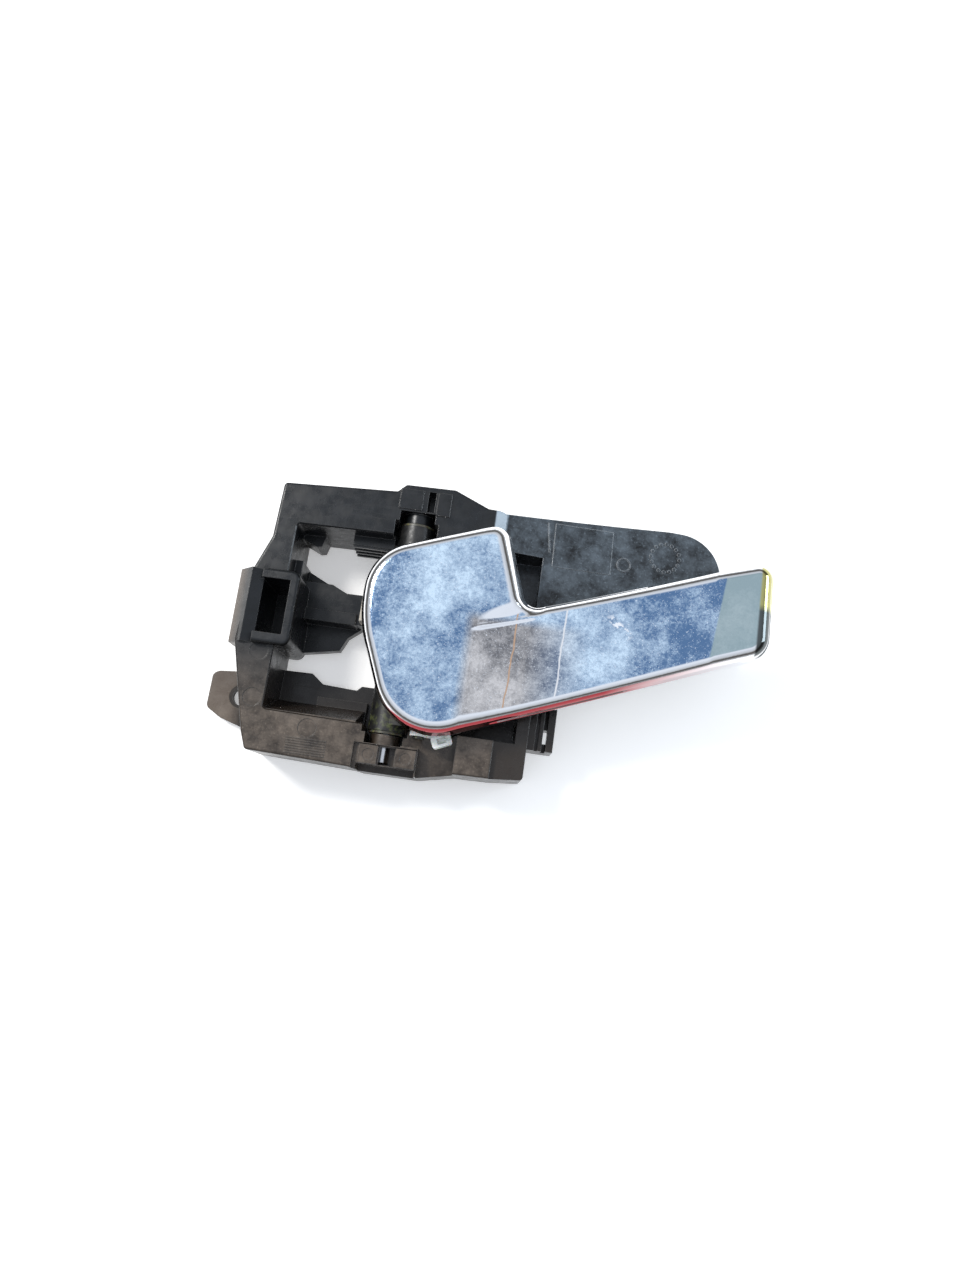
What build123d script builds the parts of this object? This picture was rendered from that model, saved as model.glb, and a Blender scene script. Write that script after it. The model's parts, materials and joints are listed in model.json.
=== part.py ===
from build123d import *
import math
import os

# Interior release handle of a car door, lying on its rear edges.
# Frame: the origin is the centre of the fixing ear's hole, on the rear face.
# +Z points to the cabin, +X to the free end of the lever, and +Y runs along the pivot pin.
# All sizes are in millimetres.

# Driving dimensions of the moulded housing.
FRONT_Z = 24.0  # front face of the frame above its rear edges
SKIN = 2.5  # thickness of the front skin over the rear pockets
ARM_Z = 12.0  # front of the bridge arm between socket and cross wall
LEDGE_Z = 3.0  # thickness of the ledge along the lower rail
EAR_Z = 3.2  # thickness of the fixing ear
SOCKET_Z = 27.0  # front rim of the trim screw socket
SOCKET_FLOOR_Z = 3.0
SLEEVE_R = 3.7
SLEEVE_BORE_R = 2.8
MARK = 0.2  # depth of the ejector marks and height of the small raised marks
LIP_R = 0.8  # rounding of the frame's outer front edge
TOWER_STEP = 1.6  # depth of the lower hinge tower's face below the front
UPPER_STEP = 0.5  # height of the upper hinge tower's pads

# Hinge.
HINGE_X = 49.5
HINGE_Z = 18.0
PIN_R = 2.0
PIN_Y = (-15.8, 66.5)
BOSS_R = 4.5
BOSS_LENGTH = 3.2
KNUCKLE_R = 5.6
FACE_Y = (-7.2, 59.2)  # the bosses' inner faces, which the bush flanges run against
FACE_GAP = 0.3
FLANGE = 0.8
BUSH_R = 3.2
BUSH_LENGTH = 8.0
RUN_CLEARANCE = 0.05

# Lever, drawn on its own rim plane, which rises toward the free end.
RIM_Z = 27.5  # rim plane above the rear face, at the hinge
RISE = 3.4  # degrees
SHELL_DEPTH = 10.0
SHELL_WALL = 2.0
SHELL_DRAFT = 6.0
EDGE_R = 3.4
CARRIER_INSET = 0.5
CARRIER_PLATE = 2.5
CARRIER_GAP = 0.2

# Crank, with the clip that holds the cable's end.
CRANK_X = 60.0
CRANK_Z = 25.0
CRANK_PIN_R = 1.5
CRANK_Y = (-4.2, -1.2)
CLIP_Y = (-6.6, -4.5)
CLIP_END = (67.0, -7.1)  # centre of the clip's turned end

# Screws that hold the shell to its carrier.
SCREW_R = 1.2
SCREW_LENGTH = 6.5
SCREW_HEAD_R = 2.4
SCREW_HEAD = 1.2
SCREW_POST_R = 3.0

# Rubber stops.
REST_X = 74.0
REST_Y = 40.0
BUFFER_STEM_R = 1.5
BUFFER_PLUG = 4.0
BUFFER_R = 2.9
BUFFER_HEAD = 5.0
OPEN_PAD_X = (35.6, 38.6)
OPEN_PAD_Y = (27.0, 36.2)
OPEN_PAD_Z = (11.0, 17.8)

# Return spring.
WIRE_R = 0.6
COIL_R = 3.6
COIL_PITCH = 1.5
COIL_TURNS = 6
COIL_Y = 33.0

# Marks on the finger plate.
DATE_X = 128.5
DATE_Y = 61.5
DATE_R = 4.6

RIM_PLANE = Plane(
    origin=(0, 0, RIM_Z - HINGE_X * math.tan(math.radians(RISE))),
    x_dir=(math.cos(math.radians(RISE)), 0, math.sin(math.radians(RISE))),
    z_dir=(-math.sin(math.radians(RISE)), 0, math.cos(math.radians(RISE))),
)

FRAME_OUTLINE = (
    (6.5, 66.5),
    (42.0, 68.5),
    (44.5, 71.0),
    (60.0, 71.3),
    (71.0, 66.7),
    (77.0, 66.5),
    (77.0, 10.0),
    (92.3, 9.0),
    (92.3, -15.0),
    (82.0, -16.0),
    (71.5, -16.2),
    (60.0, -18.6),
    (42.5, -18.6),
    (40.3, -18.2),
    (9.0, -17.3),
    (7.0, -12.0),
    (0.0, 15.4),
    (1.7, 37.7),
    (5.8, 48.7),
)
WINDOW_OUTLINE = ((12.3, -4.5), (12.8, 53.8), (71.0, 54.8), (70.5, -5.3))
PLATE_OUTLINE = (
    (75.0, 66.5),
    (129.0, 70.3),
    (146.5, 70.0),
    (147.5, 31.0),
    (120.0, 18.5),
    (92.0, 10.0),
    (75.0, 10.0),
)
PLATE_RADII = (0, 0, 14, 10, 0, 0, 0)
PLATE_THICKNESS = 2.8
PLATE_RIM = 1.6
PLATE_RIM_DEPTH = 7.0
LEVER_OUTLINE = (
    (52.9, -11.9),
    (158.2, 29.2),
    (157.6, 57.8),
    (87.0, 34.4),
    (78.3, 59.9),
    (37.9, 45.6),
    (38.0, 24.7),
)
LEVER_RADII = (19, 7.5, 4.5, 4, 5, 16, 40)
SCREW_PLACES = ((72.0, 40.0), (140.0, 38.0))


def block(x, y, z, mode=Mode.ADD):
    """A box between two limits on each axis, in the part being built."""
    with Locations(((x[0] + x[1]) / 2, (y[0] + y[1]) / 2, (z[0] + z[1]) / 2)):
        Box(x[1] - x[0], y[1] - y[0], z[1] - z[0], mode=mode)


def round_y(x, z, radius, y, mode=Mode.ADD):
    """A cylinder along Y between two limits, in the part being built."""
    with Locations((x, (y[0] + y[1]) / 2, z)):
        Cylinder(radius, y[1] - y[0], rotation=(90, 0, 0), mode=mode)


# Finger plate: a thin sloping panel behind the free end of the lever, with a rearward rim.
def plate_profile(depth, lift=0.0):
    """The side view of the finger plate, from a lift above its front face down by a depth."""
    with BuildSketch(Plane.XZ.offset(-80.0)) as profile:
        with BuildLine():
            front = ThreePointArc((75.0, 21.2 + lift), (110.0, 15.6 + lift), (148.0, 12.0 + lift))
            low = lift - depth
            back = ThreePointArc((75.0, 21.2 + low), (110.0, 15.6 + low), (148.0, 12.0 + low))
            Line(front @ 0, back @ 0)
            Line(front @ 1, back @ 1)
        make_face()
    return profile.sketch


with BuildPart() as finger_panel:
    with BuildSketch(Plane.XY):
        with BuildLine():
            FilletPolyline(*PLATE_OUTLINE, radius=PLATE_RADII, close=True)
        make_face()
    extrude(amount=FRONT_Z)
    extrude(plate_profile(PLATE_THICKNESS), amount=80.0, mode=Mode.INTERSECT)

with BuildPart() as finger_rim:
    with BuildSketch(Plane.XY):
        with BuildLine():
            FilletPolyline(*PLATE_OUTLINE, radius=PLATE_RADII, close=True)
        make_face()
        offset(amount=-PLATE_RIM, mode=Mode.SUBTRACT)
    extrude(amount=FRONT_Z)
    extrude(plate_profile(PLATE_RIM_DEPTH), amount=80.0, mode=Mode.INTERSECT)

# Raised marks on the finger plate: a blank panel, a ring and a circle of dots.
with BuildPart() as plate_marks:
    with BuildSketch(Plane.XY):
        with Locations((102.0, 59.8)):
            Rectangle(18.6, 14.0, rotation=1.5)
        with Locations((90.9, 61.6)):
            Rectangle(0.4, 9.6, rotation=9)
        with Locations((115.5, 57.0)):
            Circle(2.3)
            Circle(1.9, mode=Mode.SUBTRACT)
        with Locations((DATE_X, DATE_Y)):
            with PolarLocations(DATE_R, 16):
                Circle(0.55)
    extrude(amount=FRONT_Z)
    extrude(plate_profile(1.0, MARK), amount=80.0, mode=Mode.INTERSECT)

# Trim screw socket: a box with a rounded lip and a sloped outer side in two facets.
with BuildPart() as socket:
    with BuildSketch(Plane.XY):
        with BuildLine():
            FilletPolyline(
                (-2.8, 14.6),
                (17.4, 14.6),
                (17.4, 37.8),
                (-2.8, 37.8),
                radius=(0, 2.6, 2.6, 0),
                close=True,
            )
        make_face()
    extrude(amount=SOCKET_Z)
    fillet(socket.faces().sort_by(Axis.Z)[-1].edges().filter_by(lambda e: e.center().X > -2.0), radius=1.1)
    with BuildSketch(Plane.XZ.offset(-10.0)):
        with BuildLine():
            Polyline((-4.0, 19.0), (-2.8, 19.5), (2.0, 25.4), (5.8, 24.0), (5.8, 28.0), (-4.0, 28.0), close=True)
        make_face()
    extrude(amount=-32.0, mode=Mode.SUBTRACT)

# Housing: frame, bridge arm, socket, hinge towers, ear, cable block and finger plate in one moulding.
with BuildPart() as base_housing:
    with BuildSketch(Plane.XY):
        with BuildLine():
            FilletPolyline(*FRAME_OUTLINE, radius=1.2, close=True)
        make_face()
    extrude(amount=FRONT_Z)
    fillet(base_housing.faces().sort_by(Axis.Z)[-1].edges(), radius=LIP_R)
    with BuildSketch(Plane.XY):
        with BuildLine():
            FilletPolyline(*WINDOW_OUTLINE, radius=1.2, close=True)
        make_face()
    extrude(amount=FRONT_Z, mode=Mode.SUBTRACT)
    inner_edge = base_housing.faces().sort_by(Axis.Z)[-1].inner_wires()[0].edges()
    chamfer(inner_edge, length=0.4)

    # Rear pockets leave a front skin and ribs in the two rails.
    with BuildSketch(Plane.XY):
        with Locations((25.5, 61.0)):
            with GridLocations(10.6, 0, 3, 1):
                Rectangle(8.6, 7.0)
        with Locations((25.5, -11.2)):
            with GridLocations(10.2, 0, 3, 1):
                Rectangle(8.2, 7.4)
        with Locations((82.0, -10.2)):
            with GridLocations(9.4, 0, 2, 1):
                Rectangle(7.4, 6.4)
    extrude(amount=FRONT_Z - SKIN, mode=Mode.SUBTRACT)

    # Ledge along the lower rail, stepped at its free edge.
    with BuildSketch(Plane.XY):
        with BuildLine():
            Polyline(
                (11.0, -5.5),
                (11.0, 10.4),
                (21.5, 10.6),
                (25.5, 7.6),
                (36.5, 7.1),
                (38.0, 8.6),
                (71.5, 8.6),
                (71.5, -5.5),
                close=True,
            )
        make_face()
    extrude(amount=LEDGE_Z)
    # A sloped foot under the lower rail and a raised step on the ledge.
    with BuildSketch(Plane.YZ.offset(11.5)):
        with BuildLine():
            Polyline((-5.0, 0), (-5.0, 22.6), (-4.3, 22.6), (0.4, 6.0), (0.4, 0), close=True)
        make_face()
    extrude(amount=29.0)
    block((25.0, 41.0), (-5.0, 3.2), (0.0, 6.0))

    # Bridge arm from the socket to the cross wall: a low flange, a raised web and a middle rib.
    with BuildSketch(Plane.XY):
        with BuildLine():
            Polyline(
                (12.0, 15.6),
                (29.0, 19.0),
                (31.0, 23.5),
                (35.0, 26.8),
                (72.0, 26.8),
                (72.0, 36.9),
                (29.5, 36.5),
                (25.5, 38.6),
                (15.0, 43.6),
                (12.0, 43.6),
                close=True,
            )
        make_face()
    extrude(amount=4.0)
    with BuildSketch(Plane.XY):
        with BuildLine():
            Polyline(
                (12.0, 26.8),
                (72.0, 26.8),
                (72.0, 36.9),
                (29.5, 36.5),
                (24.5, 38.8),
                (12.0, 38.8),
                close=True,
            )
        make_face()
    extrude(amount=ARM_Z - 1.0)
    block((12.0, 33.8), (26.5, 30.2), (0.0, ARM_Z))

    # Trim screw socket with a sloped buttress on its outer side and a rounded lip.
    add(socket.part)
    block((5.8, 14.6), (17.8, 34.8), (SOCKET_FLOOR_Z, SOCKET_Z), Mode.SUBTRACT)

    # Knuckle notches, bosses and the snap slots over the pin at both hinge towers.
    block((41.2, 60.4), (-19.0, -10.6), (FRONT_Z - TOWER_STEP, FRONT_Z), Mode.SUBTRACT)
    upper_slot = ((52.0, 54.2), (62.8, 69.4))
    lower_slot = ((49.0, 53.6), (-16.4, -11.0))
    for inner, outer, (slot_x, slot_y) in ((FACE_Y[1], 1, upper_slot), (FACE_Y[0], -1, lower_slot)):
        notch = sorted((inner - outer * 6.0, inner))
        recess = sorted((inner, inner + outer * BOSS_LENGTH))
        block((42.8, 56.2), notch, (11.0, FRONT_Z), Mode.SUBTRACT)
        block((44.0, 55.0), recess, (12.5, FRONT_Z), Mode.SUBTRACT)
        round_y(HINGE_X, HINGE_Z, BOSS_R, recess)
        block(slot_x, slot_y, (HINGE_Z, FRONT_Z), Mode.SUBTRACT)
    block((42.4, 60.0), (-19.0, -16.6), (15.0, FRONT_Z), Mode.SUBTRACT)
    round_y(HINGE_X, HINGE_Z, PIN_R, (PIN_Y[0], PIN_Y[1]), Mode.SUBTRACT)

    # Square pads beside the slots.
    for x in ((42.9, 48.6), (54.0, 60.0)):
        block(x, (-16.5, -10.9), (FRONT_Z - TOWER_STEP, FRONT_Z))
    with Locations((45.8, -13.7, FRONT_Z), (57.0, -13.7, FRONT_Z)):
        Cylinder(1.7, 2 * MARK, mode=Mode.SUBTRACT)
    block((43.2, 50.4), (63.0, 69.4), (FRONT_Z, FRONT_Z + UPPER_STEP))
    block((55.0, 59.2), (62.0, 69.4), (FRONT_Z, FRONT_Z + UPPER_STEP))

    # Sloped face behind the cable clip, beside the lower hinge tower.
    with BuildSketch(Plane.YZ.offset(60.4)):
        with BuildLine():
            Polyline((-19.5, 25.0), (-4.0, 25.0), (-4.0, 21.2), (-19.5, 17.0), close=True)
        make_face()
    extrude(amount=11.0, mode=Mode.SUBTRACT)
    block((55.0, 61.0), (-10.0, -3.5), (19.0, FRONT_Z), Mode.SUBTRACT)

    # Cable channel across the block, a lower outer face, and the rearward slot for the sheath.
    block((70.0, 88.6), (-4.6, 3.6), (11.0, FRONT_Z), Mode.SUBTRACT)
    block((82.2, 92.5), (-17.0, 10.0), (FRONT_Z - 2.0, FRONT_Z), Mode.SUBTRACT)
    block((92.0, 100.2), (-5.4, 8.2), (6.0, 19.0))
    block((94.6, 95.6), (-5.4, 8.2), (17.2, 19.0), Mode.SUBTRACT)
    block((96.8, 98.0), (-5.4, 8.2), (13.5, 19.0), Mode.SUBTRACT)
    block((88.0, 100.2), (-2.7, 1.7), (6.0, 13.0), Mode.SUBTRACT)
    with BuildSketch(Plane.YZ.offset(88.0)):
        with Locations((-0.5, 13.0)):
            Circle(2.2)
    extrude(amount=12.2, mode=Mode.SUBTRACT)

    # Fixing ear.
    with BuildSketch(Plane.XY):
        with BuildLine():
            FilletPolyline(
                (8.0, -11.5),
                (-5.2, -7.6),
                (-10.4, -4.6),
                (-10.2, 6.4),
                (-8.2, 7.4),
                (3.0, 8.4),
                radius=(2, 2, 2, 2),
            )
            Line((3.0, 8.4), (8.0, -11.5))
        make_face()
        Circle(SLEEVE_R, mode=Mode.SUBTRACT)
    extrude(amount=EAR_Z)

    # Hook tab and ribbed pad on the upper rail's inner wall, and the gusset beside the socket.
    with BuildSketch(Plane.XY.offset(2.0)):
        with BuildLine():
            Polyline((12.0, 55.0), (20.4, 55.0), (19.2, 50.6), (17.6, 50.2), (12.0, 52.6), close=True)
        make_face()
    extrude(amount=10.0)
    block((30.0, 43.0), (51.0, 55.5), (4.0, 18.0))
    for z in (6.0, 9.5, 13.0, 16.5):
        block((30.0, 43.0), (50.4, 52.0), (z, z + 1.2))
    block((10.0, 15.0), (37.0, 44.0), (0.0, 16.0))

    # Finger plate with its pocket.
    add(finger_panel.part)
    add(finger_rim.part)
    add(plate_marks.part)
    block((76.0, 91.6), (18.0, 56.6), (6.0, 17.0))
    block((79.0, 89.8), (20.0, 54.8), (8.0, FRONT_Z), Mode.SUBTRACT)

    # Bend between the frame's front and the finger plate.
    with BuildSketch(Plane.XZ.offset(-57.0)):
        with BuildLine():
            Polyline((73.6, FRONT_Z), (77.2, 21.2), (77.4, 25.0), (73.6, 25.0), close=True)
        make_face()
    extrude(amount=-12.0, mode=Mode.SUBTRACT)

    # Fine lines along the lower rail.
    for row in range(7):
        line_y = -16.6 + row * 0.75
        block((21.0, 33.0), (line_y, line_y + 0.3), (FRONT_Z, FRONT_Z + MARK))

    # Plug hole for the rest buffer in the cross wall.
    with Locations((REST_X, REST_Y, FRONT_Z - BUFFER_PLUG / 2)):
        Cylinder(BUFFER_STEM_R, BUFFER_PLUG, mode=Mode.SUBTRACT)

    # Ejector marks on the frame's front faces.
    with BuildSketch(Plane.XY.offset(FRONT_Z)):
        with Locations((8.2, 12.6), (8.6, -1.6), (26.6, -8.6)):
            Circle(2.8)
    extrude(amount=-MARK, mode=Mode.SUBTRACT)

base_housing.part.label = "base_housing"

with BuildPart() as fixing_sleeve:
    Cylinder(SLEEVE_R, EAR_Z, align=(Align.CENTER, Align.CENTER, Align.MIN))
    Cylinder(SLEEVE_BORE_R, EAR_Z, align=(Align.CENTER, Align.CENTER, Align.MIN), mode=Mode.SUBTRACT)

fixing_sleeve.part.label = "fixing_sleeve"

# Steel pin, held in both towers, with chamfered ends.
with BuildPart() as pivot_pin:
    round_y(HINGE_X, HINGE_Z, PIN_R, PIN_Y)
    chamfer(pivot_pin.edges(), length=0.4)

pivot_pin.part.label = "pivot_pin"


# Lever: a chromed shell over a black carrier that turns on the pin.
def lever_face(inset=0.0, height=0.0):
    """The lever's outline, inset by a distance, at a height above its rim plane."""
    with BuildSketch(RIM_PLANE.offset(height)) as face:
        with BuildLine():
            FilletPolyline(*LEVER_OUTLINE, radius=LEVER_RADII, close=True)
        make_face()
        if inset > 0:
            offset(amount=-inset)
    return face.sketch


with BuildPart() as lever_shell:
    extrude(lever_face(), amount=SHELL_DEPTH, taper=SHELL_DRAFT)
    crown = lever_shell.faces().sort_by(Axis((0, 0, 0), RIM_PLANE.z_dir))[-1]
    fillet(crown.edges(), radius=EDGE_R)
    extrude(lever_face(SHELL_WALL), amount=SHELL_DEPTH - SHELL_WALL, taper=SHELL_DRAFT, mode=Mode.SUBTRACT)
    # Two screw posts hang from the crown down to the carrier.
    with BuildSketch(RIM_PLANE.offset(CARRIER_INSET + CARRIER_PLATE)):
        with Locations(*SCREW_PLACES):
            Circle(SCREW_POST_R)
    extrude(amount=SHELL_DEPTH - SHELL_WALL - CARRIER_INSET - CARRIER_PLATE)
    with BuildSketch(RIM_PLANE.offset(CARRIER_INSET + CARRIER_PLATE)):
        with Locations(*SCREW_PLACES):
            Circle(SCREW_R)
    extrude(amount=SCREW_LENGTH - CARRIER_PLATE + 0.5, mode=Mode.SUBTRACT)

lever_shell.part.label = "lever_shell"

with BuildPart() as lever_carrier:
    extrude(
        lever_face(SHELL_WALL + CARRIER_GAP, CARRIER_INSET),
        amount=CARRIER_PLATE,
        taper=SHELL_DRAFT,
    )
    upper_barrel = (40.5, FACE_Y[1] - FACE_GAP - FLANGE)
    lower_barrel = (FACE_Y[0] + FACE_GAP + FLANGE, 12.0)
    block((47.0, 54.5), (40.5, 44.6), (HINGE_Z, RIM_Z + 1.2))
    block((50.0, 56.0), (6.0, 12.0), (HINGE_Z, RIM_Z + 1.2))
    for span in (upper_barrel, lower_barrel):
        round_y(HINGE_X, HINGE_Z, KNUCKLE_R, span)
    with BuildSketch(Plane.XZ.offset(-CRANK_Y[1])):
        with Locations((HINGE_X, HINGE_Z)):
            Circle(4.5)
        with Locations((CRANK_X, CRANK_Z)):
            Circle(2.6)
        make_hull()
    extrude(amount=CRANK_Y[1] - CRANK_Y[0])
    round_y(CRANK_X, CRANK_Z, CRANK_PIN_R, (CLIP_Y[0] - 0.8, CRANK_Y[0]))
    round_y(CRANK_X, CRANK_Z, CRANK_PIN_R + 0.3, (CLIP_Y[0] - 0.8, CLIP_Y[0] - 0.2))
    # Bores for the bushes, with a wider passage for the pin between them.
    round_y(HINGE_X, HINGE_Z, PIN_R + 0.5, (-8.0, 60.0), Mode.SUBTRACT)
    round_y(HINGE_X, HINGE_Z, BUSH_R, (upper_barrel[1] - BUSH_LENGTH, upper_barrel[1]), Mode.SUBTRACT)
    round_y(HINGE_X, HINGE_Z, BUSH_R, (lower_barrel[0], lower_barrel[0] + BUSH_LENGTH), Mode.SUBTRACT)
    with BuildSketch(RIM_PLANE.offset(CARRIER_INSET)):
        with Locations(*SCREW_PLACES):
            Circle(SCREW_R)
    extrude(amount=CARRIER_PLATE, mode=Mode.SUBTRACT)
    with BuildSketch(RIM_PLANE.offset(CARRIER_INSET)):
        with Locations(*SCREW_PLACES):
            Circle(SCREW_HEAD_R + 0.3)
    extrude(amount=SCREW_HEAD, mode=Mode.SUBTRACT)

lever_carrier.part.label = "lever_carrier"

# Self-tapping screws from the rear of the carrier into the shell's posts.
with BuildPart() as lever_screws:
    with BuildSketch(RIM_PLANE.offset(CARRIER_INSET)):
        with Locations(*SCREW_PLACES):
            Circle(SCREW_HEAD_R)
    extrude(amount=SCREW_HEAD)
    with BuildSketch(RIM_PLANE.offset(CARRIER_INSET)):
        with Locations(*SCREW_PLACES):
            Circle(SCREW_R)
    extrude(amount=SCREW_LENGTH)
    with BuildSketch(RIM_PLANE.offset(CARRIER_INSET)):
        with Locations(*SCREW_PLACES):
            Rectangle(2.6, 0.6)
            Rectangle(0.6, 2.6)
    extrude(amount=SCREW_HEAD * 0.6, mode=Mode.SUBTRACT)

lever_screws.part.label = "lever_screws"


def hinge_bush(inner, outward):
    """A flanged bush whose flange faces a tower; the inner end of its flange is at a place on Y."""
    flange = sorted((inner, inner + outward * FLANGE))
    sleeve = sorted((inner - outward * BUSH_LENGTH, inner))
    with BuildPart() as bush:
        round_y(HINGE_X, HINGE_Z, BUSH_R, sleeve)
        round_y(HINGE_X, HINGE_Z, KNUCKLE_R - 0.4, flange)
        bore = (min(flange[0], sleeve[0]), max(flange[1], sleeve[1]))
        round_y(HINGE_X, HINGE_Z, PIN_R + RUN_CLEARANCE, bore, Mode.SUBTRACT)
    return bush.part


upper_bush = hinge_bush(upper_barrel[1], 1)
upper_bush.label = "upper_bush"
lower_bush = hinge_bush(lower_barrel[0], -1)
lower_bush.label = "lower_bush"

# Nylon clip: an eye on the crank's pin and a socket for the nipple of the cable.
with BuildPart() as cable_end_clip:
    clip_depth = CLIP_Y[1] - CLIP_Y[0]
    with BuildSketch(Plane.XZ.offset(-CLIP_Y[1])):
        with Locations((CRANK_X, CRANK_Z)):
            Circle(2.7)
        with Locations((CRANK_X + 3.4, CRANK_Z)):
            Rectangle(5.6, 3.0)
    extrude(amount=clip_depth)
    # The turned end holds the nipple in a slotted socket.
    with BuildSketch(Plane.XY.offset(CRANK_Z - 2.2)):
        with Locations(CLIP_END):
            RectangleRounded(6.0, 3.4, 0.8, rotation=24)
    extrude(amount=4.2)
    with Locations(Location((CLIP_END[0], CLIP_END[1], CRANK_Z + 1.6), (0, 0, 24))):
        Box(2.6, 1.8, 4.0, mode=Mode.SUBTRACT)
    with Locations(Location((CLIP_END[0] + 2.4, CLIP_END[1] + 1.1, CRANK_Z + 1.6), (0, 0, 24))):
        Box(3.0, 0.9, 4.0, mode=Mode.SUBTRACT)
    round_y(CRANK_X, CRANK_Z, CRANK_PIN_R + RUN_CLEARANCE, (-11.0, CLIP_Y[1]), Mode.SUBTRACT)

cable_end_clip.part.label = "cable_end_clip"

# Rubber stops: a plugged buffer under the closed lever and a pad where the opened lever lands.
with BuildPart() as rest_buffer:
    with Locations((REST_X, REST_Y, FRONT_Z - BUFFER_PLUG)):
        Cylinder(BUFFER_STEM_R, BUFFER_PLUG, align=(Align.CENTER, Align.CENTER, Align.MIN))
    with Locations((REST_X, REST_Y, FRONT_Z)):
        Cylinder(BUFFER_R, BUFFER_HEAD, align=(Align.CENTER, Align.CENTER, Align.MIN))
    fillet(rest_buffer.faces().sort_by(Axis.Z)[-1].edges(), radius=0.6)

rest_buffer.part.label = "rest_buffer"

with BuildPart() as open_stop_pad:
    block(OPEN_PAD_X, OPEN_PAD_Y, OPEN_PAD_Z)
    fillet(open_stop_pad.faces().sort_by(Axis.Z)[-1].edges(), radius=0.5)

open_stop_pad.part.label = "open_stop_pad"

# Torsion spring: a coil round the pin, with one leg on the arm and one under the carrier.
fixed_tip = Vector(-9.6, -6.2)
moving_tip = Vector(-5.8, 8.8)


def tangent_turn(tip, side):
    """The angle, in degrees, where a leg that ends at a tip leaves the coil."""
    reach = math.degrees(math.acos(COIL_R / tip.length))
    return math.degrees(math.atan2(tip.Y, tip.X)) + side * reach


def leg_length(tip):
    """The straight length of a leg from the coil to its tip."""
    return math.sqrt(tip.length**2 - COIL_R**2)


start_turn = tangent_turn(fixed_tip, 1)
sweep_turn = (tangent_turn(moving_tip, -1) - start_turn) % 360 + 360 * COIL_TURNS
coil_plane = Plane(
    origin=(HINGE_X, COIL_Y, HINGE_Z),
    x_dir=(math.cos(math.radians(start_turn)), 0, math.sin(math.radians(start_turn))),
    z_dir=(0, -1, 0),
)
coil = coil_plane.location * Helix(COIL_PITCH, COIL_PITCH * sweep_turn / 360, COIL_R)

with BuildPart() as return_spring:
    with BuildLine() as spring_wire:
        Line(coil @ 0 - (coil % 0) * leg_length(fixed_tip), coil @ 0)
        add(coil)
        Line(coil @ 1, coil @ 1 + (coil % 1) * leg_length(moving_tip))
    wire = spring_wire.wires()[0]
    with BuildSketch(Plane(origin=wire @ 0, z_dir=wire % 0)):
        Circle(WIRE_R)
    sweep(path=wire)

return_spring.part.label = "return_spring"

os.makedirs("parts", exist_ok=True)
for piece in (
    base_housing.part,
    fixing_sleeve.part,
    pivot_pin.part,
    upper_bush,
    lower_bush,
    lever_shell.part,
    lever_carrier.part,
    lever_screws.part,
    cable_end_clip.part,
    rest_buffer.part,
    open_stop_pad.part,
    return_spring.part,
):
    export_step(piece, f"parts/{piece.label}.step")
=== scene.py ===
"""Looks of the interior car door release handle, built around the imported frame."""

import json
import math

import bmesh
import bpy
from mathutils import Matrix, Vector
from mathutils.geometry import delaunay_2d_cdt


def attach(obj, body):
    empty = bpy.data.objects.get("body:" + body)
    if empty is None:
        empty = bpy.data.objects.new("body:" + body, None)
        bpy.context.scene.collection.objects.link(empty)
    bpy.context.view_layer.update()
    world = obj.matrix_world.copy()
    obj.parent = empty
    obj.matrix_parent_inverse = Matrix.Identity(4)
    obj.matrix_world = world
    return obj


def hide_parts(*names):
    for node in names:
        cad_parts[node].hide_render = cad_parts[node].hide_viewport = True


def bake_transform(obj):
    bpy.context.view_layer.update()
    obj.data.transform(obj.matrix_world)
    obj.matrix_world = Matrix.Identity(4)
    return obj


MM = 0.001

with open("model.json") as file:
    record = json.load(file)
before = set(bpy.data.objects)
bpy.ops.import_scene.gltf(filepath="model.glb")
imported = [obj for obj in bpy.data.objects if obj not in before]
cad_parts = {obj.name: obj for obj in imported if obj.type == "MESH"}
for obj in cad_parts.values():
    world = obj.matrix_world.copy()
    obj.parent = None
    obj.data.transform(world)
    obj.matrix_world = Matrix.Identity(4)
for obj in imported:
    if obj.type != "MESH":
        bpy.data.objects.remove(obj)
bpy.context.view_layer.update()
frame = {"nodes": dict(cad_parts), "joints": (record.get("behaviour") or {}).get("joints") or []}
nodes = frame["nodes"]
hinge = next(j for j in frame["joints"] if j["name"] == "lever_hinge")
HINGE = Vector(hinge["pos_m"])

# Lever: sizes in millimetres on its rim plane, which rises toward the free end.
RISE = math.radians(3.4)
RIM_Z = 27.5
LEVER_OUTLINE = (
    (52.9, -11.9),
    (158.2, 29.2),
    (157.6, 57.8),
    (87.0, 34.4),
    (78.3, 59.9),
    (37.9, 45.6),
    (38.0, 24.7),
)
LEVER_RADII = (19, 7.5, 4.5, 4, 5, 16, 40)
DRAFT = math.tan(math.radians(6.0))
EDGE_R = 3.6  # rounding between the walls and the face
EDGE_STEPS = 9
WALL = 2.0
CEILING = 6.6  # height of the hollow behind the face
CREASE_X = 71.0  # where the head meets the arm
FOLLOW_X = 104.0  # where the arm stops following the head's dome
TIP_X = 141.0  # start of the facet at the free end
TIP_FALL = 0.13
HEAD_TOP = 10.0
DOME = 700.0  # twice the radius of the domed head
DOME_AT = (58.0, 28.0)
DOME_FOOT_Y = 10.0  # where the arm's ridge line is measured
ROLL_R = 10.5  # rounding along the head's right side
ROLL_START = 9.5
ROLL_DEPTH = 3.8
HEAD_RIGHT = (80.5, 54.5)  # a point on the head's right side
HEAD_LEAN = 0.3154
BEAD = 0.5  # fine raised line along the arm's upper edge
BEAD_WIDTH = 0.75
RIM_BREAK = 0.35  # small chamfer at the rim
WALL_RISE = 4.0
BASE_INSET = 4.4 * DRAFT
GRID = 0.55  # spacing of the face's points
HOLLOW_GRID = 3.0
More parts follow.
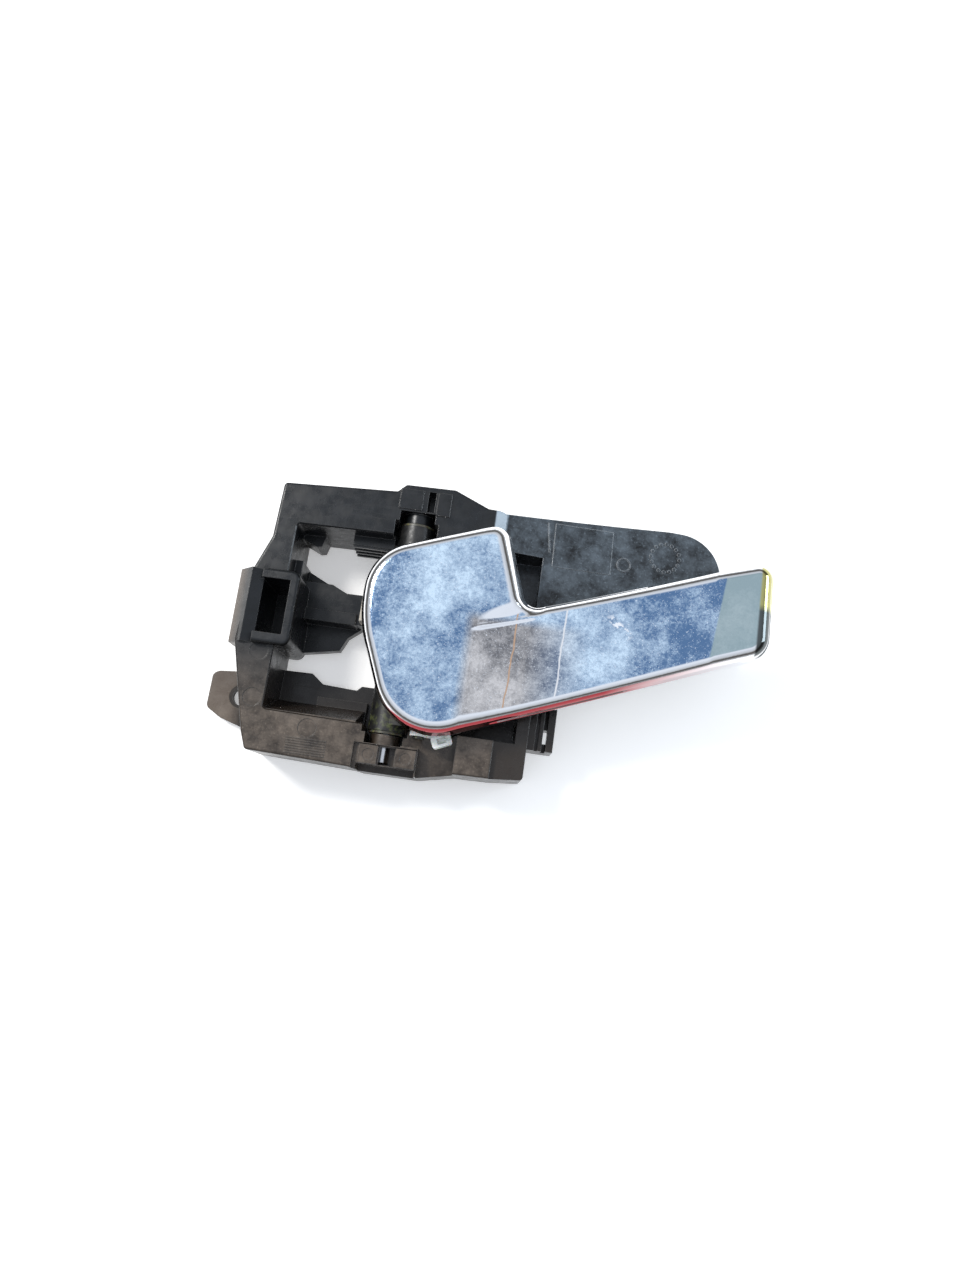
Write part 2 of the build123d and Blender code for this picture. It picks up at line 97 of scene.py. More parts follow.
HEAD_EDGE = ((69.0, 25.0), (70.5, 27.6), (74.0, 31.0), (79.0, 33.6), (92.0, 38.4))
ARM_EDGE = ((69.0, 24.6), (72.0, 25.8), (80.0, 28.4), (92.0, 32.4))
ARM_RIDGE = ((71.0, 9.3), (78.0, 7.7), (86.0, 6.5), (100.0, 5.9), (120.0, 6.5), (141.0, 8.4))


# ---------------------------------------------------------------- node helpers
class Graph:
    """A small helper that adds shader nodes and links them."""

    def __init__(self, tree):
        self.tree = tree

    def add(self, kind, **values):
        node = self.tree.nodes.new(kind)
        for name, value in values.items():
            setattr(node, name, value)
        return node

    def link(self, source, target):
        self.tree.links.new(source, target)

    def feed(self, value, socket):
        """Links an output, or sets a constant, on a socket."""
        if isinstance(value, bpy.types.NodeSocket):
            self.link(value, socket)
        else:
            socket.default_value = value

    def noise(self, where, scale, detail=4.0, rough=0.55):
        node = self.add("ShaderNodeTexNoise")
        self.feed(where, node.inputs["Vector"])
        node.inputs["Scale"].default_value = scale
        node.inputs["Detail"].default_value = detail
        node.inputs["Roughness"].default_value = rough
        return node.outputs["Fac"]

    def ramp(self, value, low, high, out_low=0.0, out_high=1.0):
        node = self.add("ShaderNodeMapRange", clamp=True)
        self.feed(value, node.inputs["Value"])
        names = ("From Min", "From Max", "To Min", "To Max")
        for name, number in zip(names, (low, high, out_low, out_high)):
            node.inputs[name].default_value = number
        return node.outputs["Result"]

    def math(self, operation, a, b=0.0):
        node = self.add("ShaderNodeMath", operation=operation)
        self.feed(a, node.inputs[0])
        self.feed(b, node.inputs[1])
        return node.outputs[0]

    def mix(self, factor, a, b):
        node = self.add("ShaderNodeMix", data_type="RGBA")
        self.feed(factor, node.inputs["Factor"])
        self.feed(a, node.inputs["A"])
        self.feed(b, node.inputs["B"])
        return node.outputs["Result"]

    def separate(self, vector):
        node = self.add("ShaderNodeSeparateXYZ")
        self.link(vector, node.inputs[0])
        return node.outputs

    def scaled(self, vector, factors):
        node = self.add("ShaderNodeVectorMath", operation="MULTIPLY")
        self.link(vector, node.inputs[0])
        node.inputs[1].default_value = factors
        return node.outputs[0]

    def bump(self, height, distance, strength=1.0, normal=None):
        node = self.add("ShaderNodeBump")
        self.feed(height, node.inputs["Height"])
        node.inputs["Distance"].default_value = distance
        node.inputs["Strength"].default_value = strength
        if normal is not None:
            self.link(normal, node.inputs["Normal"])
        return node.outputs["Normal"]

    def rounded_normal(self, radius):
        """The surface normal, rounded over sharp edges."""
        node = self.add("ShaderNodeBevel", samples=4)
        node.inputs["Radius"].default_value = radius
        return node.outputs[0]

    def edge(self, width):
        """A mask that rises to 0.55 on sharp edges, where plastic wears pale and where a painted highlight
        is laid.
        """
        soft = self.rounded_normal(width)
        flat = self.add("ShaderNodeNewGeometry").outputs["True Normal"]
        node = self.add("ShaderNodeVectorMath", operation="DOT_PRODUCT")
        self.link(soft, node.inputs[0])
        self.link(flat, node.inputs[1])
        return self.ramp(node.outputs["Value"], 0.985, 0.85, 0.0, 0.55)


def material(name):
    """A new material with its graph, its shader and its object coordinates."""
    made = bpy.data.materials.new(name)
    made.use_nodes = True
    tree = made.node_tree
    tree.nodes.clear()
    graph = Graph(tree)
    shader = graph.add("ShaderNodeBsdfPrincipled")
    output = graph.add("ShaderNodeOutputMaterial")
    graph.link(shader.outputs[0], output.inputs[0])
    coordinates = graph.add("ShaderNodeTexCoord")
    return made, graph, shader.inputs, coordinates.outputs


def dust_and_painted_reflection(g, place, turn_up):
    """Colour of the black plastic: dust with a painted bluish sheen on the plate, a painted warm brown
    reflection low down and on the ear, a painted pale reflection on the bend, and painted shade that keeps
    the lower levels black.
    """
    x, y, z = g.separate(place)
    up = g.ramp(turn_up, 0.75, 0.98)
    plate = g.math("MULTIPLY", g.ramp(x, 0.076, 0.079), g.ramp(y, 0.008, 0.012))
    # painted warm reflection: the side toward -Y and the ear turn brown
    low = g.ramp(y, 0.016, -0.006)
    ear = g.ramp(x, 0.001, -0.003)
    # painted reflection: a pale blue band along the bend between frame and plate
    bend = g.math("MULTIPLY", g.ramp(x, 0.0733, 0.0738), g.ramp(x, 0.0776, 0.0770))
    bend = g.math("MULTIPLY", bend, g.ramp(y, 0.0560, 0.0575))
    # painted shade: dust only on the higher faces, the plate and the ear, so the lower levels stay black
    raised = g.math("MAXIMUM", g.math("MAXIMUM", g.ramp(z, 0.013, 0.0225), plate), ear)
    cloud = g.ramp(g.noise(place, 150.0, 8.0, 0.75), 0.36, 0.70)
    speck = g.ramp(g.noise(place, 1500.0, 2.0), 0.60, 0.72)
    film = g.math("ADD", g.math("MULTIPLY", cloud, 0.65), g.math("MULTIPLY", speck, 0.35))
    film = g.math("MULTIPLY", g.math("MULTIPLY", film, raised), up)
    # painted sheen: the dust on the plate is tinted blue as a sky reflection
    dusty = g.mix(plate, (0.014, 0.017, 0.021, 1), (0.155, 0.190, 0.222, 1))
    # painted warm reflection: brown dust colour on the left, darker on the right
    painted_warm_reflection = g.mix(g.ramp(x, 0.0816, 0.0824), (0.230, 0.185, 0.145, 1), (0.035, 0.030, 0.026, 1))
    dusty = g.mix(low, dusty, painted_warm_reflection)
    # painted warm reflection: the bare plastic turns brown low down and on the ear
    plain = g.mix(low, (0.0030, 0.0038, 0.0048, 1), (0.024, 0.017, 0.012, 1))
    plain = g.mix(ear, plain, (0.120, 0.092, 0.070, 1))
    body = g.mix(bend, g.mix(film, plain, dusty), (0.27, 0.33, 0.38, 1))
    # partly wear, partly painted highlight: pale edges, paler still on the plate's marks
    pale = g.mix(plate, (0.17, 0.165, 0.16, 1), (0.52, 0.55, 0.58, 1))
    return g.mix(g.edge(0.35 * MM), body, pale)


def moulded_plastic():
    """Black filled plastic: fine grain, thin dust on the raised faces with painted sheen, reflection and
    shade in its colour, and light scratches.
    """
    made, g, s, at = material("moulded_black_plastic")
    place = at["Object"]
    g.feed(dust_and_painted_reflection(g, place, g.separate(at["Normal"])[2]), s["Base Color"])
    s["IOR"].default_value = 1.5
    s["Specular IOR Level"].default_value = 0.36
    scratch = g.ramp(g.noise(g.scaled(place, (60.0, 1400.0, 400.0)), 1.0, 3.0), 0.62, 0.72)
    rough = g.ramp(g.noise(place, 260.0, 4.0), 0.3, 0.7, 0.20, 0.38)
    g.feed(g.math("ADD", rough, g.math("MULTIPLY", scratch, 0.12)), s["Roughness"])
    grain = g.bump(g.noise(place, 2600.0, 3.0), 0.00003, 0.6, g.rounded_normal(0.4 * MM))
    g.feed(g.bump(g.noise(place, 160.0, 2.0), 0.00012, 0.6, grain), s["Normal"])
    return made


def scuffs(g, place, x, y):
    """A short slanted run of white scuffs half way along the arm."""
    right = g.math("SUBTRACT", x, 0.1140)
    up = g.math("SUBTRACT", y, 0.0318)
    along = g.math("ADD", g.math("MULTIPLY", right, 0.77), g.math("MULTIPLY", up, -0.64))
    across = g.math("ADD", g.math("MULTIPLY", right, 0.64), g.math("MULTIPLY", up, 0.77))
    run = g.ramp(g.math("ABSOLUTE", along), 0.0050, 0.0030)
    width = g.ramp(g.math("ABSOLUTE", across), 0.0013, 0.0007)
    flecks = g.ramp(g.noise(place, 700.0, 3.0), 0.46, 0.50)
    return g.math("MULTIPLY", g.math("MULTIPLY", run, width), flecks)


def film_with_painted_light(g, place, x, y, mottle):
    """How pale the film is: cloudy patches, with painted light making the upper head paler and a gleam mid
    arm, and painted darker reflection toward both ends.
    """
    wide = g.math("MULTIPLY", g.noise(place, 58.0, 3.0, 0.55), 0.38)
    cloudy = g.math("MULTIPLY", g.noise(place, 210.0, 6.0, 0.70), 0.30)
    blend = g.math("ADD", g.math("ADD", wide, cloudy), g.math("MULTIPLY", mottle, 0.32))
    # painted light and shade: lighter upper head, darker left edge, a gleam mid arm, darker free end
    painted_light_upper_head = g.math("MULTIPLY", g.ramp(y, 0.012, 0.050, -0.015, 0.032), g.ramp(x, 0.085, 0.075))
    painted_dark_left_edge = g.math("MULTIPLY", g.ramp(x, 0.049, 0.039), -0.060)
    painted_gleam_mid_arm = g.math("MULTIPLY", g.ramp(x, 0.0975, 0.100), g.ramp(x, 0.118, 0.106, 0.0, 0.030))
    painted_dark_free_end = g.ramp(x, 0.104, 0.120, 0.0, -0.032)
    for shift in (painted_light_upper_head, painted_dark_left_edge, painted_gleam_mid_arm, painted_dark_free_end):
        blend = g.math("ADD", blend, shift)
    return g.ramp(blend, 0.420, 0.600)


def painted_reflection_lines(g, place, x, y, film):
    """Two thin wavering painted reflections, as lines across the arm."""
    lean = -0.03
    for start, tone in ((0.0835, (0.62, 0.40, 0.26, 1)), (0.0975, (0.90, 0.88, 0.86, 1))):
        across = g.math("ADD", g.math("SUBTRACT", x, start), g.math("MULTIPLY", y, lean))
        wobble = g.math("MULTIPLY", g.math("SUBTRACT", g.noise(place, 90.0), 0.5), 0.002)
        line = g.math("ABSOLUTE", g.math("ADD", across, wobble))
        film = g.mix(g.ramp(line, 0.00035, 0.0001), film, tone)
    return film


def face_film_and_painted_reflection(g, place, x, y, mottle):
    """Colour of the face: film tinted blue as a painted sky reflection, a painted grey reflection where the
    arm starts, specks, scuffs, painted reflection lines and a painted reflection on the tip.
    """
    patches = film_with_painted_light(g, place, x, y, mottle)
    # painted reflection: the film's blue is the sky the chrome would mirror
    blue = g.mix(patches, (0.11, 0.20, 0.35, 1), (0.74, 0.89, 1.0, 1))
    grey = g.mix(patches, (0.19, 0.185, 0.19, 1), (0.70, 0.66, 0.63, 1))
    # painted reflection: grey where the arm bends away toward the side surroundings
    near = g.math("MULTIPLY", g.ramp(x, 0.069, 0.072), g.ramp(x, 0.106, 0.088))
    near = g.math("MULTIPLY", near, g.ramp(y, 0.031, 0.028))
    film = g.mix(near, blue, grey)
    specks = g.ramp(g.noise(place, 2600.0, 2.0), 0.63, 0.70, 0.0, 0.7)
    film = g.mix(specks, film, (0.95, 0.97, 1.0, 1))
    film = g.mix(scuffs(g, place, x, y), film, (1.0, 1.0, 1.0, 1))
    film = painted_reflection_lines(g, place, x, y, film)
    # painted reflection: grey-green on the facet at the tip
    tip = g.ramp(g.math("ADD", x, g.math("MULTIPLY", y, -0.12)), 0.1365, 0.1370)
    return g.mix(tip, film, g.mix(patches, (0.34, 0.43, 0.44, 1), (0.46, 0.54, 0.54, 1)))


def rim_plating_and_painted_red(g, x, turn):
    """Colour of the edges: clean plating, with a painted red reflection on the side that faces -Y."""
    wall = g.math("MULTIPLY", g.ramp(turn[1], -0.55, -0.66), g.ramp(turn[2], 0.72, 0.64))
    wall = g.math("MULTIPLY", wall, g.ramp(turn[2], 0.02, 0.10, 0.45, 1.0))
    wall = g.math("MULTIPLY", wall, g.ramp(x, 0.150, 0.112))
    # painted reflection: red on the walls that face -Y, fading toward the free end
    return g.mix(wall, (0.86, 0.86, 0.87, 1), (0.30, 0.040, 0.048, 1))


def end_painted_glint(g, x, y, turn):
    """A mask and a colour for the narrow strip at the free end: a painted yellow glint above and a painted
    dark grey reflection below.
    """
    end = g.math("MULTIPLY", g.ramp(x, 0.1526, 0.1532), g.ramp(turn[2], 0.35, 0.55))
    end = g.math("MULTIPLY", end, g.ramp(y, 0.0560, 0.0545))
    return end, g.mix(g.ramp(y, 0.0415, 0.0435), (0.10, 0.11, 0.11, 1), (0.46, 0.43, 0.17, 1))


def chrome_plating():
    """Bright plating with a mottled film of handling marks on the faces that look up, its colours partly
    painted reflections of the surroundings.
    """
    made, g, s, at = material("chrome_plating")
    place = at["Object"]
    x, y, _ = g.separate(place)
    turn = g.separate(at["Normal"])
    crown_mask = g.ramp(turn[2], 0.962, 0.982)
    mottle = g.noise(place, 1100.0, 5.0, 0.80)
    body = g.mix(crown_mask, rim_plating_and_painted_red(g, x, turn), face_film_and_painted_reflection(g, place, x, y, mottle))
    end, strip = end_painted_glint(g, x, y, turn)
    g.feed(g.mix(end, body, strip), s["Base Color"])
    s["Metallic"].default_value = 1.0
    haze = g.ramp(mottle, 0.38, 0.62, 0.06, 0.14)
    g.feed(g.math("MULTIPLY", haze, g.ramp(crown_mask, 0.0, 1.0, 0.4, 1.0)), s["Roughness"])
    g.feed(g.bump(g.noise(place, 800.0, 5.0, 0.6), 0.00004, 0.6), s["Normal"])
    return made


def steel(name, color, rough, streak=(900.0, 60.0, 900.0)):
    """Drawn or plated steel with fine streaks."""
    made, g, s, at = material(name)
    place = at["Object"]
    lines = g.noise(g.scaled(place, streak), 1.0, 4.0)
    stain = g.ramp(g.noise(place, 300.0, 3.0), 0.45, 0.7)
    dark = tuple(0.45 * c for c in color[:3]) + (1,)
    g.feed(g.mix(g.math("MULTIPLY", stain, 0.5), color, dark), s["Base Color"])
    s["Metallic"].default_value = 1.0
    g.feed(g.ramp(lines, 0.3, 0.7, rough * 0.8, rough * 1.4), s["Roughness"])
    g.feed(g.bump(lines, 0.00003, 0.4), s["Normal"])
    return made


def nylon(name, color, dirt, amount=0.5):
    """Unfilled nylon with a little light in it and some grease or dirt."""
    made, g, s, at = material(name)
    place = at["Object"]
    spots = g.ramp(g.noise(place, 420.0, 5.0, 0.65), 0.5, 0.72)
    g.feed(g.mix(g.math("MULTIPLY", spots, amount), color, dirt), s["Base Color"])
    s["Subsurface Weight"].default_value = 0.12
    s["Subsurface Scale"].default_value = 0.001
    g.feed(g.ramp(g.noise(place, 600.0), 0.3, 0.7, 0.28, 0.48), s["Roughness"])
    g.feed(g.bump(g.noise(place, 900.0, 3.0), 0.00004, 0.5), s["Normal"])
    return made


def carrier_plastic():
    """Black nylon of the lever's inner frame, with old grease on its knuckles."""
    made, g, s, at = material("carrier_black_nylon")
    place = at["Object"]
    dust = g.ramp(g.noise(place, 160.0, 5.0, 0.6), 0.45, 0.7)
    low = g.ramp(g.separate(place)[1], 0.004, -0.004)
    grease = g.math("MULTIPLY", g.ramp(g.noise(place, 520.0, 4.0), 0.5, 0.62), low)
    base = g.mix(dust, (0.006, 0.006, 0.006, 1), (0.026, 0.024, 0.022, 1))
    g.feed(g.mix(grease, base, (0.075, 0.085, 0.03, 1)), s["Base Color"])
    g.feed(g.ramp(g.noise(place, 700.0), 0.3, 0.7, 0.3, 0.5), s["Roughness"])
    g.feed(g.bump(g.noise(place, 2200.0), 0.00003, 0.5, g.rounded_normal(0.3 * MM)), s["Normal"])
    return made


def rubber(name, color, pale):
    """Matt rubber with a dusty bloom."""
    made, g, s, at = material(name)
    place = at["Object"]
    bloom = g.ramp(g.noise(place, 500.0, 5.0, 0.6), 0.4, 0.7)
    g.feed(g.mix(g.math("MULTIPLY", bloom, 0.6), color, pale), s["Base Color"])
    s["Specular IOR Level"].default_value = 0.3
    g.feed(g.ramp(bloom, 0.0, 1.0, 0.62, 0.85), s["Roughness"])
    g.feed(g.bump(g.noise(place, 1500.0, 4.0), 0.00006, 0.7), s["Normal"])
    return made


# ---------------------------------------------------------------- lever shell
def rounded(points, radii, step):
    """A closed outline through points, with each corner rounded, as evenly spaced points."""
    corners = []
    count = len(points)
    for i, radius in enumerate(radii):
        p = Vector(points[i])
        a = (Vector(points[i - 1]) - p).normalized()
        b = (Vector(points[(i + 1) % count]) - p).normalized()
        half = math.acos(max(-1.0, min(1.0, a.dot(b)))) / 2
        reach = radius / math.tan(half)
        centre = p + (a + b).normalized() * (radius / math.sin(half))
        corners.append((p + a * reach, centre, p + b * reach, radius))
    dense = []
    for i, (start, centre, end, radius) in enumerate(corners):
        u, v = start - centre, end - centre
        turn = math.atan2(u.x * v.y - u.y * v.x, u.dot(v))
        pieces = max(2, int(abs(turn) * radius / step * 4))
        for k in range(pieces + 1):
            c, s = math.cos(turn * k / pieces), math.sin(turn * k / pieces)
            dense.append(centre + Vector((u.x * c - u.y * s, u.x * s + u.y * c)))
    lengths = [0.0]
    for i in range(len(dense)):
        lengths.append(lengths[-1] + (dense[(i + 1) % len(dense)] - dense[i]).length)
    total = lengths[-1]
    number = int(total / step)
    outline, k = [], 0
    for i in range(number):
        want = total * i / number
        while lengths[k + 1] < want:
            k += 1
        share = (want - lengths[k]) / max(1e-9, lengths[k + 1] - lengths[k])
        outline.append(dense[k].lerp(dense[(k + 1) % len(dense)], share))
    return outline


def inward(outline):
    """The inward normal at each point of an outline that runs anticlockwise."""
    normals = []
    for i in range(len(outline)):
        along = (outline[(i + 1) % len(outline)] - outline[i - 1]).normalized()
        normals.append(Vector((-along.y, along.x)))
    return normals


def smooth(low, high, value):
    """A share that eases from 0 at low to 1 at high."""
    t = max(0.0, min(1.0, (value - low) / (high - low)))
    return t * t * (3 - 2 * t)


def through(points, x):
    """A smooth curve through points, read at x."""
    k = max(0, min(len(points) - 2, sum(1 for p in points[1:-1] if p[0] <= x)))
    (x0, y0), (x1, y1) = points[k], points[k + 1]

    def slope(i):
        if i == 0 or i == len(points) - 1:
            j = 0 if i == 0 else len(points) - 2
            return (points[j + 1][1] - points[j][1]) / (points[j + 1][0] - points[j][0])
        return (points[i + 1][1] - points[i - 1][1]) / (points[i + 1][0] - points[i - 1][0])

    span = x1 - x0
    t = (x - x0) / span
    return (
        (2 * t**3 - 3 * t**2 + 1) * y0
        + (t**3 - 2 * t**2 + t) * span * slope(k)
        + (3 * t**2 - 2 * t**3) * y1
        + (t**3 - t**2) * span * slope(k + 1)
    )


def head_height(x, y):
    """The domed head, which rolls off in a wide radius along its right side."""
    dome = HEAD_TOP - ((x - DOME_AT[0]) ** 2 + (y - DOME_AT[1]) ** 2) / DOME
    right = HEAD_RIGHT[0] + (HEAD_RIGHT[1] - y) * HEAD_LEAN
    t = max(0.0, min(0.96, (x - (right - ROLL_START)) / ROLL_R))
    return dome - ROLL_DEPTH * (1 - math.sqrt(1 - t * t))


def arm_height(x, y):
    """The arm, hollowed along its length, with a facet at its tip."""
    at = max(CREASE_X, x)
    if at > TIP_X:
        ridge = ARM_RIDGE[-1][1] - (at - TIP_X) * TIP_FALL
    else:
        ridge = through(ARM_RIDGE, at)
    follow = 1 - smooth(CREASE_X, FOLLOW_X, x)
    return ridge + follow * ((DOME_FOOT_Y - DOME_AT[1]) ** 2 - (y - DOME_AT[1]) ** 2) / DOME


def crown(p):
    """Height of the lever's face above its rim plane."""
    x, y = p
    if x <= HEAD_EDGE[0][0]:
        return head_height(x, y)
    arm = arm_height(x, y)
    if x >= HEAD_EDGE[-1][0]:
        return arm
    head = head_height(x, y)
    low, high = through(ARM_EDGE, x), through(HEAD_EDGE, x)
    share = max(0.0, min(1.0, (y - low) / (high - low)))
    share = 0.5 * share + 0.5 * smooth(0.0, 1.0, share)
    bend = smooth(CREASE_X + 2.0, CREASE_X - 2.0, x)
    fade = smooth(70.0, 75.0, x) * smooth(92.0, 88.0, x)
    bead = BEAD * math.exp(-(((y - low) / BEAD_WIDTH) ** 2)) * fade
    return arm + (head - arm) * max(share, bend) + bead


def to_frame(p, height):
    """A point on the lever's rim plane, raised by a height, in the frame and in metres."""
    base = RIM_Z - HINGE.x / MM * math.tan(RISE)
    x = p[0] * math.cos(RISE) - height * math.sin(RISE)
    z = base + p[0] * math.sin(RISE) + height * math.cos(RISE)
    return (x * MM, p[1] * MM, z * MM)


class Shell:
    """Rings of points that follow the lever's outline, and the faces between them."""

    def __init__(self):
        self.mesh = bmesh.new()
        self.outline = rounded(LEVER_OUTLINE, LEVER_RADII, GRID)
        self.normals = inward(self.outline)

    def offset(self, inset):
        return [p + n * inset for p, n in zip(self.outline, self.normals)]

    def ring(self, inset, height):
        return [self.mesh.verts.new(to_frame(p, height(p))) for p in self.offset(inset)]

    def bridge(self, a, b, flip=False):
        count = len(a)
        for i in range(count):
            j = (i + 1) % count
            corners = (a[j], a[i], b[i], b[j]) if flip else (a[i], a[j], b[j], b[i])
            self.mesh.faces.new(corners)


def outer_rings(made):
    """Rings up the drafted wall and round the edge of the face."""
    rings = [made.ring(RIM_BREAK, lambda p: 0.0), made.ring(0.0, lambda p: RIM_BREAK)]
    for share in (0.3, 0.6, 1.0):
        wall = RIM_BREAK + WALL_RISE * share
        rings.append(made.ring(wall * DRAFT * share, lambda p, w=wall: min(w, crown(p) - EDGE_R)))
    for k in range(1, EDGE_STEPS + 1):
        turn = math.pi / 2 * k / EDGE_STEPS
        inset = BASE_INSET + EDGE_R * (1 - math.cos(turn))
        rings.append(made.ring(inset, lambda p, t=turn: crown(p) - EDGE_R * (1 - math.sin(t))))
    for a, b in zip(rings, rings[1:]):
        made.bridge(a, b)
    return rings


def hollow_height(p):
    """Height of the hollow's ceiling, which stays a wall's thickness behind the face."""
    return min(CEILING, crown(p) - WALL * 0.9)


def inner_rings(made):
    """Rings from the rim up to the ceiling of the hollow."""
    rings = [
        made.ring(WALL - 0.2, lambda p: 0.0),
        made.ring(WALL, lambda p: 0.3),
        made.ring(WALL + CEILING * DRAFT, hollow_height),
    ]
    for a, b in zip(rings, rings[1:]):
        made.bridge(a, b, flip=True)
    return rings


def lever_shell():
    """The chromed shell: drafted walls, a rounded edge, the shaped crown and the hollow behind."""
    made = Shell()
    outer = outer_rings(made)
    cap(made.mesh, made.offset(BASE_INSET + EDGE_R), outer[-1], GRID, crown)
    inner = inner_rings(made)
    made.bridge(outer[0], inner[0], flip=True)
    hollow = made.offset(WALL + CEILING * DRAFT)
    cap(made.mesh, hollow, inner[-1], HOLLOW_GRID, hollow_height, flip=True)
    bmesh.ops.recalc_face_normals(made.mesh, faces=made.mesh.faces)
    data = bpy.data.meshes.new("chrome_lever_shell")
    made.mesh.to_mesh(data)
    made.mesh.free()
    return smooth_object("chrome_lever_shell", data)


def smooth_object(name, data):
    """An object with smooth shading, in the scene."""
    for face in data.polygons:
        face.use_smooth = True
    thing = bpy.data.objects.new(name, data)
    bpy.context.scene.collection.objects.link(thing)
    return thing


def grid_inside(edge, step):
    """Points of a triangular grid inside an outline, clear of it by more than half a step."""
    low_x, high_x = min(p.x for p in edge), max(p.x for p in edge)
    low_y, high_y = min(p.y for p in edge), max(p.y for p in edge)
    points = []
    count = len(edge)
    row = 0
    y = low_y
    while y < high_y:
        x = low_x + (step / 2 if row % 2 else 0.0)
        crossings = []
        for i in range(count):
            a, b = edge[i], edge[(i + 1) % count]
            if (a.y > y) != (b.y > y):
                crossings.append(a.x + (y - a.y) * (b.x - a.x) / (b.y - a.y))
        crossings.sort()
        while x < high_x:
            inside = sum(1 for c in crossings if c < x) % 2 == 1
            if inside and all(abs(c - x) > step * 0.6 for c in crossings):
                points.append(Vector((x, y)))
            x += step
        y += step * 0.866
        row += 1
    return points


def cap(mesh, edge, ring, step, height, flip=False):
    """Fills a ring with triangles on a grid of points."""
    count = len(edge)
    points = list(edge) + grid_inside(edge, step)
    border = [(i, (i + 1) % count) for i in range(count)]
    made, _, faces, _, _, _ = delaunay_2d_cdt(points, border, [], 1, 1e-6)
    verts = []
    for i, p in enumerate(made):
        verts.append(ring[i] if i < count else mesh.verts.new(to_frame(p, height(p))))
    for face in faces:
        corners = [verts[i] for i in face]
        if len(set(corners)) == 3:
            mesh.faces.new(corners[::-1] if flip else corners)


# ---------------------------------------------------------------- return spring
def return_spring():
    """The torsion spring as a round wire, with its legs tangent to the coil."""
    wire = 0.6 * MM
    coil = 3.6 * MM
    fixed = Vector((-9.6, -6.2)) * MM
    moving = Vector((-5.8, 8.8)) * MM

    def leave(tip, side):
        return math.atan2(tip.y, tip.x) + side * math.acos(coil / tip.length)

    start = leave(fixed, 1)
    whole_turns = 6
    turn = (leave(moving, -1) - start) % math.tau + math.tau * whole_turns
    first_y = 33.0 * MM
    fall = 1.5 * MM / math.tau
    points = []
    steps = 240
    for k in range(steps + 1):
        a = start + turn * k / steps
        y = first_y - fall * turn * k / steps
        points.append(Vector((HINGE.x + coil * math.cos(a), y, HINGE.z + coil * math.sin(a))))
    lead = (points[0] - points[1]).normalized() * math.sqrt(fixed.length**2 - coil**2)
    tail = (points[-1] - points[-2]).normalized() * math.sqrt(moving.length**2 - coil**2)
    route = [points[0] + lead * t for t in (1.0, 0.75, 0.5, 0.25)] + points
    route += [points[-1] + tail * t for t in (0.25, 0.5, 0.75, 1.0)]
    curve = bpy.data.curves.new("torsion_spring", "CURVE")
    curve.dimensions = "3D"
    curve.bevel_depth = wire
    curve.bevel_resolution = 4
    curve.use_fill_caps = True
    spline = curve.splines.new("POLY")
    spline.points.add(len(route) - 1)
    for point, place in zip(spline.points, route):
        point.co = (*place, 1.0)
    shape = bpy.data.objects.new("torsion_spring_curve", curve)
    bpy.context.scene.collection.objects.link(shape)
    bpy.context.view_layer.update()
    data = bpy.data.meshes.new_from_object(shape.evaluated_get(bpy.context.evaluated_depsgraph_get()))
    bpy.data.objects.remove(shape)
    return smooth_object("torsion_spring", data)


# ---------------------------------------------------------------- assembly
def paint(thing, made):
    """Gives a thing one material."""
    thing.data.materials.clear()
    thing.data.materials.append(made)


plastic = moulded_plastic()
chrome = chrome_plating()
black_nylon = carrier_plastic()
zinc = steel("zinc_plated_steel", (0.62, 0.58, 0.50, 1), 0.32)
pin_steel = steel("ground_pin_steel", (0.60, 0.60, 0.61, 1), 0.2, (500.0, 30.0, 500.0))
spring_steel = steel("spring_steel", (0.30, 0.29, 0.28, 1), 0.35)
white_nylon = nylon("white_clip_nylon", (0.80, 0.82, 0.78, 1), (0.42, 0.40, 0.28, 1), 0.6)
bush_nylon = nylon("greased_bush_nylon", (0.055, 0.050, 0.035, 1), (0.20, 0.21, 0.06, 1), 0.7)
black_steel = steel("black_sleeve_steel", (0.035, 0.032, 0.030, 1), 0.4)
black_rubber = rubber("black_stop_rubber", (0.012, 0.012, 0.012, 1), (0.06, 0.058, 0.055, 1))
pale_rubber = rubber("pale_pad_rubber", (0.55, 0.50, 0.42, 1), (0.72, 0.68, 0.60, 1))

for name, made in (
    ("base_housing", plastic),
    ("fixing_sleeve", black_steel),
    ("pivot_pin", pin_steel),
    ("rest_buffer", black_rubber),
    ("open_stop_pad", pale_rubber),
    ("lever_carrier", black_nylon),
    ("lever_screws", zinc),
    ("upper_bush", bush_nylon),
    ("lower_bush", bush_nylon),
    ("cable_end_clip", white_nylon),
):
    paint(nodes[name], made)

shell = lever_shell()
paint(shell, chrome)
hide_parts("lever_shell")
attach(shell, "lever")

spring = return_spring()
paint(spring, spring_steel)
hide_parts("return_spring")
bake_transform(spring)


# ---------------------------------------------------------------- floor, light and camera
def floor():
    """A plain pale floor that also glows a little, a painted light that lifts the shade."""
    under = 0.2 * MM  # just below the rear edges, so that the two don't flicker
    bpy.ops.mesh.primitive_plane_add(size=6.0, location=(0.07, 0.025, -under))
    plane = bpy.context.object
    plane.name = "floor"
    made, g, s, at = material("pale_floor")
    tone = g.noise(at["Object"], 3.0)
    g.feed(g.mix(tone, (0.93, 0.92, 0.90, 1), (0.95, 0.94, 0.92, 1)), s["Base Color"])
    s["Roughness"].default_value = 0.9
    s["Specular IOR Level"].default_value = 0.1
    # painted light: the floor glows a little to lift the shade inside the windows
    s["Emission Color"].default_value = (1.0, 0.99, 0.98, 1)
    s["Emission Strength"].default_value = 0.34
    paint(plane, made)


